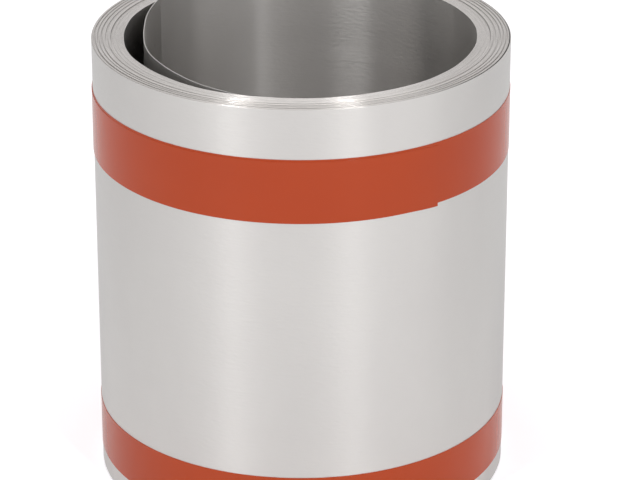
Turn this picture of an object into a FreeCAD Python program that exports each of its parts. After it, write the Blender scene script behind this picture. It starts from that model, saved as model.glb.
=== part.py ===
import FreeCAD, Part
import os
from math import atan2

import Sketcher
from FreeCAD import Vector

# Aluminium flashing roll: one strip of thin sheet wound into a tight coil, standing
# on its end, and held closed by two bands of adhesive tape.
# Z is the coil's axis, Z = 0 is the floor, and the origin is the centre of the lower end.
# Angles are in degrees about Z, from +X.

SIZES = {
    # The strip and its winding
    "strip_width": 152.4,
    "sheet_gauge": 0.27,
    "turn_air": 0.015,
    "bore_diameter": 115.6,
    # The turns sit in groups, from the bore outwards, that slid along the axis in winding
    "turns_1": 16,
    "turns_2": 6,
    "turns_3": 5,
    "turns_4": 4,
    "turns_5": 2,
    "turns_6": 5,
    "lift_1": 0.0,
    "lift_2": 0.4,
    "lift_3": 0.15,
    "lift_4": 0.45,
    "lift_5": 0.1,
    "lift_6": 0.35,
    # The loose end of the innermost turn, which bulges into the bore
    "tail_root_angle": 258,
    "tail_peak_angle": 182,
    "tail_tip_angle": 145,
    "tail_gap": 6.25,
    "tail_root_turns": 2,
    # The two bands of tape, and the lap where each ends on itself
    "tape_thickness": 0.14,
    "upper_tape_width": 21.0,
    "upper_tape_below_top": 16.4,
    "upper_lap_length": 198.0,
    "upper_lap_angle": 145.1,
    "lower_tape_width": 17.5,
    "lower_tape_above_floor": 6.9,
    "lower_lap_length": 45.0,
    "lower_lap_angle": 70.0,
}
GROUPS = 6

BORE_RADIUS = "Sizes.bore_diameter / 2"
TURN_PITCH = "(Sizes.sheet_gauge + Sizes.turn_air)"


def group_radius(count):
    """The outer radius of the first so many groups of turns, as an expression."""
    turns = " + ".join(["0"] + ["Sizes.turns_%d" % (k + 1) for k in range(count)])
    return "(%s + (%s) * %s)" % (BORE_RADIUS, turns, TURN_PITCH)


COIL_RADIUS = group_radius(GROUPS)


def make_sheet(doc):
    sheet = doc.addObject("Spreadsheet::Sheet", "Sizes")
    for row, (name, value) in enumerate(SIZES.items(), start=1):
        sheet.set("A%d" % row, name)
        sheet.set("B%d" % row, str(value))
        sheet.setAlias("B%d" % row, name)
    doc.recompute()


def new_body(doc, label):
    body = doc.addObject("PartDesign::Body", label)
    body.Label = label
    return body


def new_sketch(body, plane, name):
    """An empty sketch on one of the body's own origin planes."""
    sketch = body.newObject("Sketcher::SketchObject", name)
    planes = [item for item in body.Origin.OriginFeatures if item.Role == plane]
    sketch.AttachmentSupport = [(planes[0], "")]
    sketch.MapMode = "FlatFace"
    return sketch


def number(sketch, expression):
    """What the expression gives with the sheet's present values."""
    result = sketch.evalExpression(expression)
    return float(getattr(result, "Value", result))


def point(sketch, place):
    """A pair of expressions as a point, to draw the outline from."""
    return Vector(number(sketch, place[0]), number(sketch, place[1]), 0)


def hold(sketch, piece, end, place):
    """Hold an end of a line or arc at a pair of expressions, measured from the origin."""
    for kind, expression in zip(("DistanceX", "DistanceY"), place):
        distance = number(sketch, expression)
        held = Sketcher.Constraint(kind, -1, 1, piece, end, distance)
        index = sketch.addConstraint(held)
        sketch.setExpression("Constraints[%d]" % index, expression)


def join(sketch, *pairs):
    """Join ends: each pair is (piece, end, piece, end), and end 3 is an arc's centre."""
    for pair in pairs:
        sketch.addConstraint(Sketcher.Constraint("Coincident", *pair))


def outline(sketch, corners):
    """A closed outline of straight lines, with every corner held."""
    count = len(corners)
    points = [point(sketch, corner) for corner in corners]
    for k in range(count):
        following = points[(k + 1) % count]
        sketch.addGeometry(Part.LineSegment(points[k], following), False)
    for k in range(count):
        join(sketch, (k, 2, (k + 1) % count, 1))
        hold(sketch, k, 1, corners[k])


def box(inner, outer, bottom, top):
    """The corners of an upright rectangle between two radii."""
    return [(inner, bottom), (outer, bottom), (outer, top), (inner, top)]


def turn(body, sketch, name, angle="360"):
    """Turn the section about Z, all the way round or by the angle's expression."""
    feature = body.newObject("PartDesign::Revolution", name)
    feature.Profile = sketch
    feature.ReferenceAxis = (sketch, ["V_Axis"])
    feature.setExpression("Angle", angle)
    return feature


def polar(radius, angle):
    return ("%s * cos(%s)" % (radius, angle), "%s * sin(%s)" % (radius, angle))


def square_arc(peak, far_end, start, end):
    """An arc from start to end, centred where peak and far_end lie square to the arc.

    The centre is on the line from peak through the axis.
    """
    inward = Vector(-peak.x, -peak.y, 0).normalize()
    reach = far_end - peak
    centre = peak + inward * (reach.dot(reach) / (2 * reach.dot(inward)))
    arms = [start - centre, end - centre]
    angles = [atan2(arm.y, arm.x) for arm in arms]
    circle = Part.Circle(centre, Vector(0, 0, 1), (arms[0].Length + arms[1].Length) / 2)
    return Part.ArcOfCircle(circle, angles[0], angles[1])


def wound_wall(body):
    """The wall of wound turns, stepped on both ends where a group has slid."""
    section = new_sketch(body, "XZ_Plane", "wall_section")
    lower_end = []
    upper_end = []
    for k in range(GROUPS):
        lift = "Sizes.lift_%d" % (k + 1)
        for radius in (group_radius(k), group_radius(k + 1)):
            lower_end.append((radius, lift))
            upper_end.append((radius, "Sizes.strip_width + " + lift))
    outline(section, lower_end + upper_end[::-1])
    turn(body, section, "wound_wall")


def loose_turn(body):
    """The loose end of the innermost turn: two arcs that share a tangent at the peak.

    Both ends reach some turns deep into the wall, so that the sheet is one with it.
    """
    section = new_sketch(body, "XY_Plane", "loose_turn_section")
    root_radius = "(%s + Sizes.tail_root_turns * %s)" % (BORE_RADIUS, TURN_PITCH)
    peak_radius = "(%s - Sizes.tail_gap)" % BORE_RADIUS
    inner_radius = "(%s - Sizes.tail_gap - Sizes.sheet_gauge)" % BORE_RADIUS
    root = polar(root_radius, "Sizes.tail_root_angle")
    peak = polar(peak_radius, "Sizes.tail_peak_angle")
    tip = polar(root_radius, "Sizes.tail_tip_angle")
    inner_peak = polar(inner_radius, "Sizes.tail_peak_angle")
    root_cap = (root[0], root[1] + " + Sizes.sheet_gauge")
    tip_cap = (tip[0] + " + Sizes.sheet_gauge", tip[1])

    at_root, at_peak, at_tip = (point(section, place) for place in (root, peak, tip))
    at_inner_peak = point(section, inner_peak)
    at_root_cap = point(section, root_cap)
    at_tip_cap = point(section, tip_cap)
    pieces = [
        square_arc(at_peak, at_tip, at_tip, at_peak),
        square_arc(at_peak, at_root, at_peak, at_root),
        Part.LineSegment(at_root, at_root_cap),
        square_arc(at_peak, at_root, at_inner_peak, at_root_cap),
        square_arc(at_peak, at_tip, at_tip_cap, at_inner_peak),
        Part.LineSegment(at_tip_cap, at_tip),
    ]
    for piece in pieces:
        section.addGeometry(piece, False)
    outer_tip, outer_bend, cap_at_root, inner_bend, inner_tip, cap_at_tip = range(6)
    join(
        section,
        (outer_tip, 2, outer_bend, 1),
        (outer_bend, 2, cap_at_root, 1),
        (cap_at_root, 2, inner_bend, 2),
        (inner_bend, 1, inner_tip, 2),
        (inner_tip, 1, cap_at_tip, 1),
        (cap_at_tip, 2, outer_tip, 1),
        (outer_tip, 3, inner_tip, 3),
        (outer_bend, 3, inner_bend, 3),
    )
    spoke = section.addGeometry(Part.LineSegment(at_peak, Vector(0, 0, 0)), True)
    join(section, (spoke, 1, outer_bend, 1), (spoke, 2, -1, 1))
    for arc in (outer_tip, outer_bend):
        section.addConstraint(Sketcher.Constraint("PointOnObject", arc, 3, spoke))
    section.addConstraint(Sketcher.Constraint("Vertical", cap_at_root))
    section.addConstraint(Sketcher.Constraint("Horizontal", cap_at_tip))
    hold(section, outer_bend, 2, root)
    hold(section, outer_bend, 1, peak)
    hold(section, outer_tip, 1, tip)
    hold(section, inner_bend, 1, inner_peak)

    sheet = body.newObject("PartDesign::Pad", "loose_turn")
    sheet.Profile = section
    sheet.setExpression("Length", "Sizes.strip_width")


def tape_band(doc, place, bottom):
    """A band of tape once round the coil, and the lap where it ends on itself."""
    body = new_body(doc, "tape_band_" + place)
    top = "%s + Sizes.%s_tape_width" % (bottom, place)
    under = "(%s + Sizes.tape_thickness)" % COIL_RADIUS
    over = "(%s + 2 * Sizes.tape_thickness)" % COIL_RADIUS
    band = new_sketch(body, "XZ_Plane", place + "_band_section")
    outline(band, box(COIL_RADIUS, under, bottom, top))
    turn(body, band, place + "_band")
    lap = new_sketch(body, "XZ_Plane", place + "_lap_section")
    outline(lap, box(under, over, bottom, top))
    turn(body, lap, place + "_lap", "Sizes.%s_lap_length / %s * 180 / pi" % (place, under))
    body.setExpression("Placement.Rotation.Angle", "Sizes.%s_lap_angle" % place)
    return body


doc = FreeCAD.newDocument("flashing_roll")
make_sheet(doc)
coil = new_body(doc, "aluminium_coil")
wound_wall(coil)
loose_turn(coil)
upper_bottom = "Sizes.strip_width - Sizes.upper_tape_below_top - Sizes.upper_tape_width"
upper = tape_band(doc, "upper", upper_bottom)
lower = tape_band(doc, "lower", "Sizes.lower_tape_above_floor")
doc.recompute()

for item in doc.Objects:
    if "Invalid" in item.State or "Error" in item.State:
        raise RuntimeError("%s did not build: %s" % (item.Name, item.State))
for body in (coil, upper, lower):
    if body.Shape.isNull() or not body.Shape.isValid():
        raise RuntimeError(body.Label + " has no valid shape")

os.makedirs("parts", exist_ok=True)
for body in (coil, upper, lower):
    body.Shape.exportStep("parts/%s.step" % body.Label)
    bounds = body.Shape.BoundBox
    print(body.Label, len(body.Shape.Solids), round(body.Shape.Volume), bounds)
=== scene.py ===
import random
from math import cos, sin, radians, pi

import bpy
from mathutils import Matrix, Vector


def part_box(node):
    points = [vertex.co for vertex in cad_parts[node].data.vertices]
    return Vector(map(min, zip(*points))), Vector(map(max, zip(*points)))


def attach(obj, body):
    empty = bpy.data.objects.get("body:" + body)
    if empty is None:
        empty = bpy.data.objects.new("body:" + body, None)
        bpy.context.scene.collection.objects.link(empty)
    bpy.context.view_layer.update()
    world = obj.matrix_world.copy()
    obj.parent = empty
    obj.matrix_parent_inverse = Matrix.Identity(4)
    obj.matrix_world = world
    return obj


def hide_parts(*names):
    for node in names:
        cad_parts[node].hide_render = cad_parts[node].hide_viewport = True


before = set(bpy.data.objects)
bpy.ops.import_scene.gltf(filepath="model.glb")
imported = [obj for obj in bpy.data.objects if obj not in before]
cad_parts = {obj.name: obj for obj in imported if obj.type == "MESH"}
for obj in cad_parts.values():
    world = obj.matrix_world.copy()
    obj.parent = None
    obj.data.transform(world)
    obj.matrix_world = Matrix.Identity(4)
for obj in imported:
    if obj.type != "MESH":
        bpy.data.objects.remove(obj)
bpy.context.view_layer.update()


# ---- The wound strip ----
# One strip of thin flashing, slit from mill-finish sheet and wound by machine into a tight
# coil. Its innermost turn has sprung loose into the bore, and groups of turns slid a little
# along the axis, so that the ends show rings.
MM = 0.001
COIL_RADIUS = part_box("aluminium_coil")[1][0]
BORE_RADIUS = 57.8 * MM
SHEET_GAUGE = 0.27 * MM
STRIP_WIDTH = 152.4 * MM

# The winding, in turns counted from where the loose end meets the bore's wall. The sheet's
# outer face reaches the coil's full radius a little before its outer end.
TURNS = 37.42
FULL_SIZE_BEFORE_END = 0.45
ROOT_ANGLE = 252.0
STEPS_PER_TURN = 150

# Where a group of turns ends, the air beyond it, and the lift of the group's edges. Each
# group slides into the next over a short part of a turn.
GROUPS = [
    (15.55, 0.10 * MM, 0.0 * MM),
    (18.3, 0.03 * MM, 0.32 * MM),
    (21.55, 0.05 * MM, 0.15 * MM),
    (24.2, 0.03 * MM, 0.42 * MM),
    (26.55, 0.05 * MM, 0.12 * MM),
    (28.6, 0.03 * MM, 0.38 * MM),
    (30.55, 0.05 * MM, 0.18 * MM),
    (32.55, 0.04 * MM, 0.45 * MM),
    (34.4, 0.03 * MM, 0.10 * MM),
    (36.2, 0.04 * MM, 0.35 * MM),
    (TURNS, 0.0, 0.2 * MM),
]
SLIDE_TURNS = 0.15

# How far each turn's edges wander from their group's height
EDGE_WANDER = 0.07 * MM
WANDER_SEED = 11
WANDER_TURNS = 60

# The loose inner turn, back from its root to its tip: how far it stands off the wall, where
# along it that is greatest, how fast the gap opens and closes, and how far its tip rises
TIP_TURNS = -0.2978
TAIL_GAP = 6.4 * MM
TAIL_PEAK = 0.65
TAIL_ROOT_EASE = 0.06
TAIL_OPENING = 2
TAIL_CLOSING = 1.9
TIP_RISE = 0.9 * MM

# The outermost turn stands off a little on one side
OUTER_SLACK = 0.28 * MM
SLACK_ANGLE = -12.0
SLACK_SPREAD = 70.0

# The sheet buckles a very little, most in the bore where nothing holds it in. Each wave has
# its own count round a turn, and the more there are of it the shallower it is.
OUTER_BUCKLE = 0.03 * MM
BORE_BUCKLE = 0.2 * MM
BUCKLE_FADE_TURNS = 16
BUCKLE_WAVES = 9
FEWEST_WAVES, MOST_WAVES = 5, 34
SHORT_WAVE_POWER = 0.6

air = sum(gap for _, gap, _ in GROUPS)
turn_pitch = (COIL_RADIUS - BORE_RADIUS - SHEET_GAUGE - air) / (TURNS - FULL_SIZE_BEFORE_END)
wander = random.Random(WANDER_SEED)
turn_lifts = [wander.uniform(-EDGE_WANDER, EDGE_WANDER) for _ in range(WANDER_TURNS)]
waves = [(wander.randint(FEWEST_WAVES, MOST_WAVES), wander.uniform(0, 2 * pi))
         for _ in range(BUCKLE_WAVES)]


def smooth(share):
    """An even step from 0 to 1."""
    share = min(max(share, 0.0), 1.0)
    return share * share * (3 - 2 * share)


def sheet_lift(turn):
    """How far the strip's edges stand above their lowest group, at this turn."""
    lift = GROUPS[0][2]
    for k in range(1, len(GROUPS)):
        step = GROUPS[k][2] - GROUPS[k - 1][2]
        lift += step * smooth((turn - GROUPS[k - 1][0]) / SLIDE_TURNS)
    whole = int(turn + 1)
    blend = smooth(turn + 1 - whole)
    lift += turn_lifts[whole] * (1 - blend) + turn_lifts[whole + 1] * blend
    if turn < 0:
        lift += TIP_RISE * (turn / TIP_TURNS) ** 2
    return lift + EDGE_WANDER


def tail_gap(turn):
    """How far the loose turn stands off the bore's wall: none at its root and its tip."""
    along = turn / TIP_TURNS
    if along < TAIL_PEAK:
        gap = 1 - (1 - along / TAIL_PEAK) ** TAIL_OPENING
    else:
        gap = 1 - ((along - TAIL_PEAK) / (1 - TAIL_PEAK)) ** TAIL_CLOSING
    return TAIL_GAP * gap * smooth(along / TAIL_ROOT_EASE)


def sheet_radius(turn):
    """The radius of the middle of the sheet at this turn."""
    radius = BORE_RADIUS + SHEET_GAUGE / 2 + turn_pitch * turn
    for end, gap, _ in GROUPS[:-1]:
        radius += gap * smooth((turn - end) / SLIDE_TURNS)
    angle = ROOT_ANGLE + 360 * turn
    if turn < 0:
        radius -= tail_gap(turn)
    if turn > TURNS - 1:
        off = (angle - SLACK_ANGLE + 180) % 360 - 180
        radius += OUTER_SLACK * smooth(1 - abs(off) / SLACK_SPREAD)
    inward = 1 - min(max(turn / BUCKLE_FADE_TURNS, 0), 1)
    buckle = OUTER_BUCKLE + BORE_BUCKLE * inward ** 2
    for count, start in waves:
        radius += buckle / count ** SHORT_WAVE_POWER * sin(count * radians(angle) + start)
    return radius


def linear(colour):
    """An sRGB hex colour as linear red, green, blue and full alpha."""
    parts = [int(colour[k:k + 2], 16) / 255 for k in (1, 3, 5)]
    return [c / 12.92 if c < 0.04045 else ((c + 0.055) / 1.055) ** 2.4 for c in parts] + [1]


def add(material, kind, settings=None, links=None):
    """Add a node with its settings, its plain input values and its links."""
    node = material.node_tree.nodes.new(kind)
    for name, value in (settings or {}).items():
        if hasattr(node, name):
            setattr(node, name, value)
        else:
            node.inputs[name].default_value = value
    for name, source in (links or {}).items():
        material.node_tree.links.new(source, node.inputs[name])
    return node


def new_material(name):
    """A material with no nodes in it yet."""
    material = bpy.data.materials.new(name)
    material.use_nodes = True
    material.node_tree.nodes.clear()
    return material


def stretched_noise(material, place, per_metre, detail):
    """Noise laid on the flat sheet, with this many spots a metre along it and across it."""
    stretch = add(material, "ShaderNodeMapping", {"Scale": (*per_metre, 1)},
                  {"Vector": place.outputs["Vector"]})
    return add(material, "ShaderNodeTexNoise", {"Scale": 1.0, **detail},
               {"Vector": stretch.outputs["Vector"]})


# Mill-finish aluminium: plain rolled sheet as it leaves the mill. It is half glossy, pale
# and a touch warm. The work rolls leave fine lines along the strip, about 0.4 mm apart and
# 170 mm long, which draw every reflection out across them into tall soft bands, and the
# sheet has faint cloudy patches of some 36 mm by 71 mm. A grain of 2.6 mm by 0.9 mm, far
# too low to see by itself, breaks up the bands a little.
LINES_PER_METRE = (6, 2500)
CLOUDS_PER_METRE = (28, 14)
GRAIN_PER_METRE = (380, 1100)
GRAIN_HEIGHT = 0.06 * MM
LINE_HEIGHT = 0.02 * MM
QUARTER_TURN = 0.25
mill = new_material("mill_finish_aluminium")
flat = add(mill, "ShaderNodeAttribute", {"attribute_name": "along_strip"})
lines = stretched_noise(mill, flat, LINES_PER_METRE, {"Detail": 3.0})
clouds = stretched_noise(mill, flat, CLOUDS_PER_METRE, {"Detail": 4.0, "Roughness": 0.6})
grain = stretched_noise(mill, flat, GRAIN_PER_METRE, {"Detail": 2.0})
tone = add(mill, "ShaderNodeMix", {"data_type": "RGBA"}, {"Factor": clouds.outputs["Fac"]})
tone.inputs["A"].default_value = linear("#cdcac8")
tone.inputs["B"].default_value = linear("#d6d4d1")
gloss = add(mill, "ShaderNodeMapRange", {"To Min": 0.29, "To Max": 0.38},
            {"Value": lines.outputs["Fac"]})
pitting = add(mill, "ShaderNodeBump", {"Strength": 1.0, "Distance": GRAIN_HEIGHT},
              {"Height": grain.outputs["Fac"]})
ridges = add(mill, "ShaderNodeBump", {"Strength": 0.08, "Distance": LINE_HEIGHT},
             {"Height": lines.outputs["Fac"], "Normal": pitting.outputs["Normal"]})
rolling = add(mill, "ShaderNodeTangent", {"direction_type": "RADIAL", "axis": "Z"})
metal = add(mill, "ShaderNodeBsdfPrincipled",
            {"Metallic": 1.0, "Anisotropic": 0.84, "Anisotropic Rotation": QUARTER_TURN},
            {"Base Color": tone.outputs["Result"], "Roughness": gloss.outputs["Result"],
             "Normal": ridges.outputs["Normal"], "Tangent": rolling.outputs["Tangent"]})
add(mill, "ShaderNodeOutputMaterial", None, {"Surface": metal.outputs["BSDF"]})

# The slit edge of the same sheet, sheared by rotary knives. Its colour is painted lighter than
# the face, a painted light for the lamplight the rim catches, and it turns from pale to paler
# every 4 mm or so along the cut.
NICKS_PER_METRE = (260, 1)
slit = new_material("slit_aluminium_edge")
slit_flat = add(slit, "ShaderNodeAttribute", {"attribute_name": "along_strip"})
nicks = stretched_noise(slit, slit_flat, NICKS_PER_METRE, {"Detail": 2.0})
# Painted light: both shades are set lighter than the face so that the coil's ends look lit
painted_lit_edge_tone = add(slit, "ShaderNodeMix", {"data_type": "RGBA"}, {"Factor": nicks.outputs["Fac"]})
painted_lit_edge_tone.inputs["A"].default_value = linear("#d0cbc8")
painted_lit_edge_tone.inputs["B"].default_value = linear("#ece7e4")
edge = add(slit, "ShaderNodeBsdfPrincipled", {"Metallic": 1.0, "Roughness": 0.26},
           {"Base Color": painted_lit_edge_tone.outputs["Result"]})
add(slit, "ShaderNodeOutputMaterial", None, {"Surface": edge.outputs["BSDF"]})


def flat_grid(name, steps):
    """A flat grid of so many steps by one, to be bent to its place."""
    bpy.ops.object.select_all(action="DESELECT")
    bpy.ops.mesh.primitive_grid_add(x_subdivisions=steps, y_subdivisions=1, size=2)
    piece = bpy.context.object
    piece.name = name
    piece.data.name = name
    return piece


def thicken(piece, thickness, rounding, corner, rim_slot):
    """Give a bent grid its thickness, half each way, and round the corners it then has."""
    wall = piece.modifiers.new("thickness", "SOLIDIFY")
    wall.thickness = thickness
    wall.offset = 0
    wall.material_offset_rim = rim_slot
    bpy.ops.object.modifier_apply(modifier=wall.name)
    soft_edge = piece.modifiers.new("soft_edge", "BEVEL")
    soft_edge.width = rounding
    soft_edge.segments = 2
    soft_edge.limit_method = "ANGLE"
    soft_edge.angle_limit = radians(corner)
    bpy.ops.object.modifier_apply(modifier=soft_edge.name)
    bpy.ops.object.shade_smooth_by_angle(angle=radians(SHARPEST_SMOOTH))


# The knives leave the strip's corners a hair rounded, and nothing sharper than a gentle
# bend is shaded as smooth
SLIT_ROUNDING = 0.08 * MM
SLIT_CORNER = 60
SHARPEST_SMOOTH = 20

steps = round((TURNS - TIP_TURNS) * STEPS_PER_TURN)
strip = flat_grid("flashing_strip", steps)
strip.data.materials.append(mill)
strip.data.materials.append(slit)

# Each station of the winding: x, y and lift, and the length of strip wound up to it
length = 0.0
stations = []
for step in range(steps + 1):
    turn = TIP_TURNS + (TURNS - TIP_TURNS) * step / steps
    angle = radians(ROOT_ANGLE + 360 * turn)
    radius = sheet_radius(turn)
    here = (radius * cos(angle), radius * sin(angle), sheet_lift(turn))
    if stations:
        back = stations[-1][0]
        length += ((here[0] - back[0]) ** 2 + (here[1] - back[1]) ** 2) ** 0.5
    stations.append((here, length))

# Bend the grid along the stations, and note where each point lies on the flat strip
along_strip = strip.data.attributes.new("along_strip", "FLOAT_VECTOR", "POINT")
for point in strip.data.vertices:
    step = round((point.co.x + 1) / 2 * steps)
    height = STRIP_WIDTH if point.co.y > 0 else 0.0
    (x, y, lift), run = stations[step]
    point.co = (x, y, lift + height)
    along_strip.data[point.index].vector = (run, height, 0)
bpy.ops.object.mode_set(mode="EDIT")
bpy.ops.mesh.select_all(action="SELECT")
bpy.ops.mesh.flip_normals()
bpy.ops.object.mode_set(mode="OBJECT")
thicken(strip, SHEET_GAUGE, SLIT_ROUNDING, SLIT_CORNER, rim_slot=1)
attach(strip, "root")
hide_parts("aluminium_coil")


# ---- The two bands of tape ----
# Each is one length of thin glossy plastic tape pulled tight round the coil and lapped on
# itself. It drifts along the coil as it goes round, so the free end sits off the layer below.
BANDS = [
    # name, node, free end's angle, lapped angle, drift along the axis in one turn
    ("upper_tape", "tape_band_upper", -51.0, 165.0, 0.6 * MM),
    ("lower_tape", "tape_band_lower", 107.5, 37.5, 0.1 * MM),
]
TAPE_THICKNESS = 0.15 * MM
TAPE_STEPS_PER_TURN = 240
TAPE_ROUNDING = 0.05 * MM
TAPE_CORNER = 50

# How tight a layer lies (1 would touch), the angle over which the tape climbs down off its
# own start, and the angle over which it drapes off the end of the strip under it
LAYER_SPACING = 1.02
CLIMB_ANGLE = 2.5
DRAPE_ANGLE = 5
# The free end sags a little along the axis
END_SAG = 0.4 * MM
SAG_ANGLE = 10

# Glossy orange tape: pigmented PVC film with a calendered face. Its colour is even, with
# patches of some 45 mm hardly a shade apart, and it mirrors its surroundings faintly head
# on and strongly at the coil's sides.
PATCHES_PER_METRE = 22.0
film = new_material("orange_pvc_tape")
film_place = add(film, "ShaderNodeTexCoord")
film_patches = add(film, "ShaderNodeTexNoise", {"Scale": PATCHES_PER_METRE, "Detail": 3.0},
                   {"Vector": film_place.outputs["Object"]})
film_tone = add(film, "ShaderNodeMix", {"data_type": "RGBA"},
                {"Factor": film_patches.outputs["Fac"]})
film_tone.inputs["A"].default_value = linear("#ab3b10")
film_tone.inputs["B"].default_value = linear("#b84312")
film_skin = add(film, "ShaderNodeBsdfPrincipled",
                {"Roughness": 0.16, "IOR": 1.45, "Specular IOR Level": 0.4},
                {"Base Color": film_tone.outputs["Result"]})
add(film, "ShaderNodeOutputMaterial", None, {"Surface": film_skin.outputs["BSDF"]})


def coil_face(angle):
    """The outside radius of the coil at an angle in degrees, where the tape sticks."""
    past_end = (angle - ROOT_ANGLE - 360 * TURNS) % 360
    turn = TURNS - 1 + past_end / 360
    end_step = sheet_radius(TURNS) - sheet_radius(TURNS - 1)
    draped = end_step * (1 - smooth(past_end / DRAPE_ANGLE))
    return sheet_radius(turn) + SHEET_GAUGE / 2 + draped


for name, node, free_end, lapped, drift in BANDS:
    low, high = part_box(node)
    tape = flat_grid(name, round(TAPE_STEPS_PER_TURN * (360 + lapped) / 360))
    for point in tape.data.vertices:
        turned = (point.co.x + 1) / 2 * (360 + lapped)
        angle = free_end - turned
        # The middle of the film, in layers off the coil: over its own start, then on it
        layer = 0.5
        if turned < 360:
            layer = 1.5 - smooth((turned - lapped) / CLIMB_ANGLE)
        radius = coil_face(angle) + TAPE_THICKNESS * layer * LAYER_SPACING
        shift = drift * (turned / 360 - 1) - END_SAG * smooth(1 - turned / SAG_ANGLE)
        edge_height = high[2] if point.co.y > 0 else low[2]
        point.co = (radius * cos(radians(angle)), radius * sin(radians(angle)),
                    edge_height + shift)
    thicken(tape, TAPE_THICKNESS, TAPE_ROUNDING, TAPE_CORNER, rim_slot=0)
    tape.data.materials.append(film)
    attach(tape, "root")
    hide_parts(node)


# ---- The studio ----
# A white paper sweep under soft lamps: two tall narrow ones high at the front, which draw
# the bright bands down the roll, a broad one at the side and one overhead.
bpy.ops.object.select_all(action="DESELECT")
bpy.ops.mesh.primitive_plane_add(size=12)
floor = bpy.context.object
floor.name = "floor"

# Matt white paper. It keeps the roll's soft shadow and otherwise looks plain white; the
# metal sees it glow in front of the roll and fade to nothing behind, in metres along Y.
SEEN_GLOW = 0.40
MIRRORED_GLOW = 0.28
GLOW_FRONT, GLOW_BACK = -1.2, 0.8
paper = new_material("white_paper")
paper_face = add(paper, "ShaderNodeBsdfPrincipled",
                 {"Base Color": linear("#f0f0f0"), "Roughness": 0.45,
                  "Specular IOR Level": 0.25})
paper_place = add(paper, "ShaderNodeTexCoord")
paper_axes = add(paper, "ShaderNodeSeparateXYZ", None,
                 {"Vector": paper_place.outputs["Object"]})
bounce = add(paper, "ShaderNodeMapRange",
             {"From Min": GLOW_FRONT, "From Max": GLOW_BACK,
              "To Min": MIRRORED_GLOW, "To Max": 0.0},
             {"Value": paper_axes.outputs["Y"]})
paper_ray = add(paper, "ShaderNodeLightPath")
paper_seen = add(paper, "ShaderNodeMix", {"A": 0.0, "B": SEEN_GLOW},
                 {"Factor": paper_ray.outputs["Is Camera Ray"]})
paper_glow = add(paper, "ShaderNodeMath", {"operation": "MULTIPLY_ADD"})
for socket, source in enumerate((paper_ray.outputs["Is Glossy Ray"],
                                 bounce.outputs["Result"], paper_seen.outputs["Result"])):
    paper.node_tree.links.new(source, paper_glow.inputs[socket])
glow = add(paper, "ShaderNodeEmission", {"Color": (1.0, 0.96, 1.01, 1)},
           {"Strength": paper_glow.outputs["Value"]})
paper_sum = add(paper, "ShaderNodeAddShader")
paper.node_tree.links.new(paper_face.outputs["BSDF"], paper_sum.inputs[0])
paper.node_tree.links.new(glow.outputs["Emission"], paper_sum.inputs[1])
add(paper, "ShaderNodeOutputMaterial", None, {"Surface": paper_sum.outputs["Shader"]})
floor.data.materials.append(paper)

# The white room round the sweep: plain white to look at, brighter in front of the roll than
# behind where the metal mirrors it, and dimmer as plain light on everything
FRONT_WALL, BACK_WALL = 1.0, 0.72
ROOM_LIGHT = 0.55
world = bpy.data.worlds.new("studio")
bpy.context.scene.world = world
world.use_nodes = True
world.node_tree.nodes.clear()
seen = add(world, "ShaderNodeLightPath")
toward = add(world, "ShaderNodeTexCoord")
world_axes = add(world, "ShaderNodeSeparateXYZ", None,
                 {"Vector": toward.outputs["Generated"]})
walls = add(world, "ShaderNodeMapRange",
            {"From Min": -1.0, "From Max": 1.0, "To Min": FRONT_WALL, "To Max": BACK_WALL},
            {"Value": world_axes.outputs["Y"]})
mirrored = add(world, "ShaderNodeMix", {"A": ROOM_LIGHT},
               {"Factor": seen.outputs["Is Glossy Ray"], "B": walls.outputs["Result"]})
level = add(world, "ShaderNodeMix", {"B": 1.0},
            {"Factor": seen.outputs["Is Camera Ray"], "A": mirrored.outputs["Result"]})
sky = add(world, "ShaderNodeBackground", {"Color": (1, 1, 1, 1)},
          {"Strength": level.outputs["Result"]})
add(world, "ShaderNodeOutputWorld", None, {"Surface": sky.outputs["Background"]})


def soft_lamp(name, stand, size, watts):
    """A rectangular softbox on its stand, facing the middle of the roll."""
    bpy.ops.object.light_add(type="AREA", location=stand)
    lamp = bpy.context.object
    lamp.name = name
    lamp.data.shape = "RECTANGLE"
    lamp.data.size, lamp.data.size_y = size
    lamp.data.energy = watts
    reach = Vector((0, 0, STRIP_WIDTH / 2)) - Vector(stand)
    lamp.rotation_euler = reach.to_track_quat("-Z", "Y").to_euler()


soft_lamp("left_softbox", (-1.26, -1.55, 1.75), (0.14, 1.6), 18)
soft_lamp("right_softbox", (0.97, -1.75, 1.75), (0.17, 1.6), 16)
soft_lamp("side_softbox", (1.65, -0.9, 1.0), (1.1, 1.4), 3)
soft_lamp("overhead_softbox", (0, 0.3, 1.8), (1.2, 1.2), 2.2)

# The camera looks down at the roll from the front, close enough to crop both its ends
CAMERA_PLACE = (0, -1.0095, 0.5262)
CAMERA_DOWN = 23.918
CAMERA_RIGHT = 0.363
CAMERA_LENS = 184.26
CAMERA_SENSOR = 36
camera_data = bpy.data.cameras.new("camera")
camera_data.lens = CAMERA_LENS
camera_data.sensor_width = CAMERA_SENSOR
camera = bpy.data.objects.new("camera", camera_data)
camera.location = CAMERA_PLACE
camera.rotation_euler = (radians(90 - CAMERA_DOWN), 0, radians(-CAMERA_RIGHT))
bpy.context.scene.collection.objects.link(camera)
bpy.context.scene.camera = camera
bpy.context.scene.view_settings.view_transform = "Standard"
